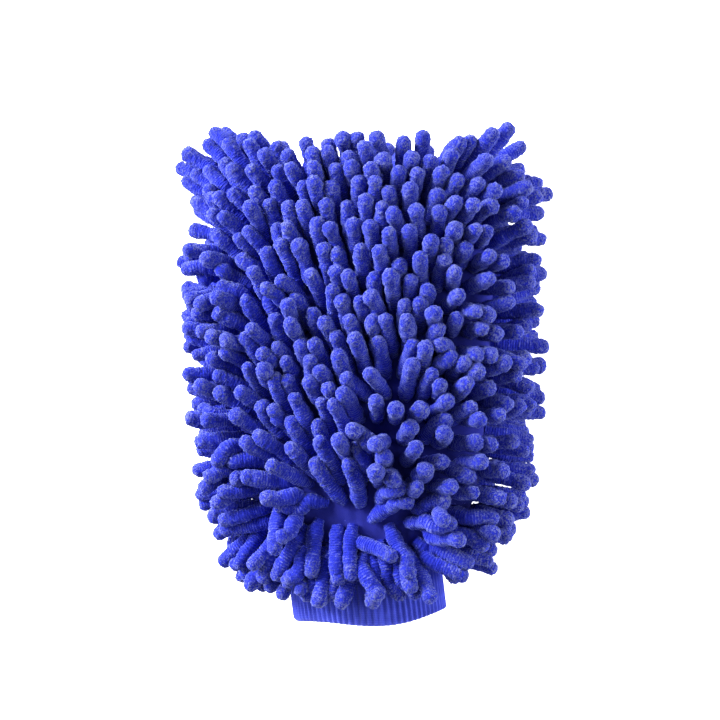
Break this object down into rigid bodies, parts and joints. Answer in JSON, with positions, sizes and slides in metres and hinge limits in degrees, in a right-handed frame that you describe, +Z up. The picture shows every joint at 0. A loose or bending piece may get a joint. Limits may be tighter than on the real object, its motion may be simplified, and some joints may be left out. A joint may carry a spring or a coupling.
{
  "type": "wash mitt",
  "caption": "Chenille wash mitt for car care: a soft two-sided pocket covered in rows of fat yarn noodles, lined inside, with a folded rib-knit wrist cuff.",
  "frame": {"origin": "centre of the bounding box on the surface that the mitt lies on", "axes": "+Y from the wrist cuff to the closed finger end, +X across the hand, +Z up out of the front face"},
  "size_m": [0.2068, 0.2694, 0.1052],
  "materials": {
    "pile": "fuzzy chenille yarn",
    "cloth": "plain knit",
    "lining": "smooth warp knit",
    "rib": "rib knit",
    "thread": "overlocked sewing thread",
    "elastic": "woven elastic"
  },
  "bodies": {
    "root": {"front_cloth": "cloth", "back_cloth": "cloth", "front_lining": "lining", "back_lining": "lining", "body_seam": "thread", "lining_seam": "thread", "rib_cuff": "rib", "cuff_elastic": "elastic", "cuff_seam": "thread", "front_row_01": "pile", "front_row_02": "pile", "front_row_03": "pile", "front_row_04": "pile", "front_row_05": "pile", "front_row_06": "pile", "front_row_07": "pile", "front_row_08": "pile", "front_row_09": "pile", "front_row_10": "pile", "front_row_11": "pile", "front_row_12": "pile", "front_row_13": "pile", "front_row_14": "pile", "front_row_15": "pile", "front_row_16": "pile", "front_row_17": "pile", "front_row_18": "pile", "front_row_19": "pile", "front_row_20": "pile", "back_row_01": "pile", "back_row_02": "pile", "back_row_03": "pile", "back_row_04": "pile", "back_row_05": "pile", "back_row_06": "pile", "back_row_07": "pile", "back_row_08": "pile", "back_row_09": "pile", "back_row_10": "pile", "back_row_11": "pile", "back_row_12": "pile", "back_row_13": "pile", "back_row_14": "pile", "back_row_15": "pile", "back_row_16": "pile", "back_row_17": "pile", "back_row_18": "pile", "back_row_19": "pile", "back_row_20": "pile"}
  },
  "joints": []
}
